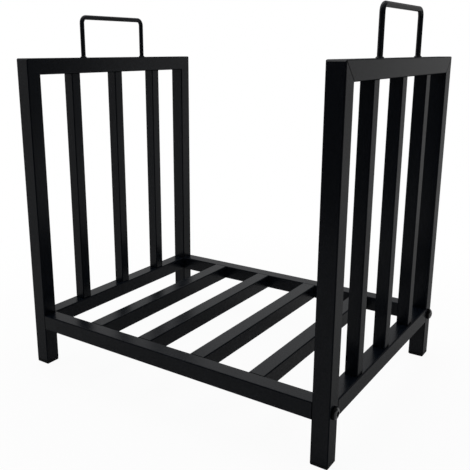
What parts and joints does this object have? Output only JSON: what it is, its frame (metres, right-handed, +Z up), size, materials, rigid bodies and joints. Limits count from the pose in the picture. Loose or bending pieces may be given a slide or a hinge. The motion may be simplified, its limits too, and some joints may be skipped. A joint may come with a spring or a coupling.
{
  "type": "firewood rack",
  "caption": "Free-standing firewood rack of black square steel tube: barred side panels with rod handles, bolted to a slatted base that holds logs clear of the floor.",
  "frame": {"origin": "on the floor, under the middle of the rack", "axes": "+X from the left side panel to the right one, +Y from the front to the rear, +Z up"},
  "size_m": [0.4408, 0.33, 0.46],
  "materials": {
    "frame_coat": "satin black powder coat with a fine orange-peel grain",
    "bolt_black": "black oxide steel, slightly glossier than the frame",
    "nut_zinc": "zinc-plated steel, hidden in the rail ends",
    "foot_plastic": "moulded black plastic"
  },
  "bodies": {
    "root": {"front_rail": "frame_coat", "left_bottom_rail": "frame_coat", "left_front_bar": "frame_coat", "left_front_bolt": "bolt_black", "left_front_foot": "foot_plastic", "left_front_post": "frame_coat", "left_front_rail_nut": "nut_zinc", "left_handle": "frame_coat", "left_inner_slat": "frame_coat", "left_middle_bar": "frame_coat", "left_outer_slat": "frame_coat", "left_rear_bar": "frame_coat", "left_rear_bolt": "bolt_black", "left_rear_foot": "foot_plastic", "left_rear_post": "frame_coat", "left_rear_rail_nut": "nut_zinc", "left_top_rail": "frame_coat", "rear_rail": "frame_coat", "right_bottom_rail": "frame_coat", "right_front_bar": "frame_coat", "right_front_bolt": "bolt_black", "right_front_foot": "foot_plastic", "right_front_post": "frame_coat", "right_front_rail_nut": "nut_zinc", "right_handle": "frame_coat", "right_inner_slat": "frame_coat", "right_middle_bar": "frame_coat", "right_outer_slat": "frame_coat", "right_rear_bar": "frame_coat", "right_rear_bolt": "bolt_black", "right_rear_foot": "foot_plastic", "right_rear_post": "frame_coat", "right_rear_rail_nut": "nut_zinc", "right_top_rail": "frame_coat"}
  },
  "joints": []
}
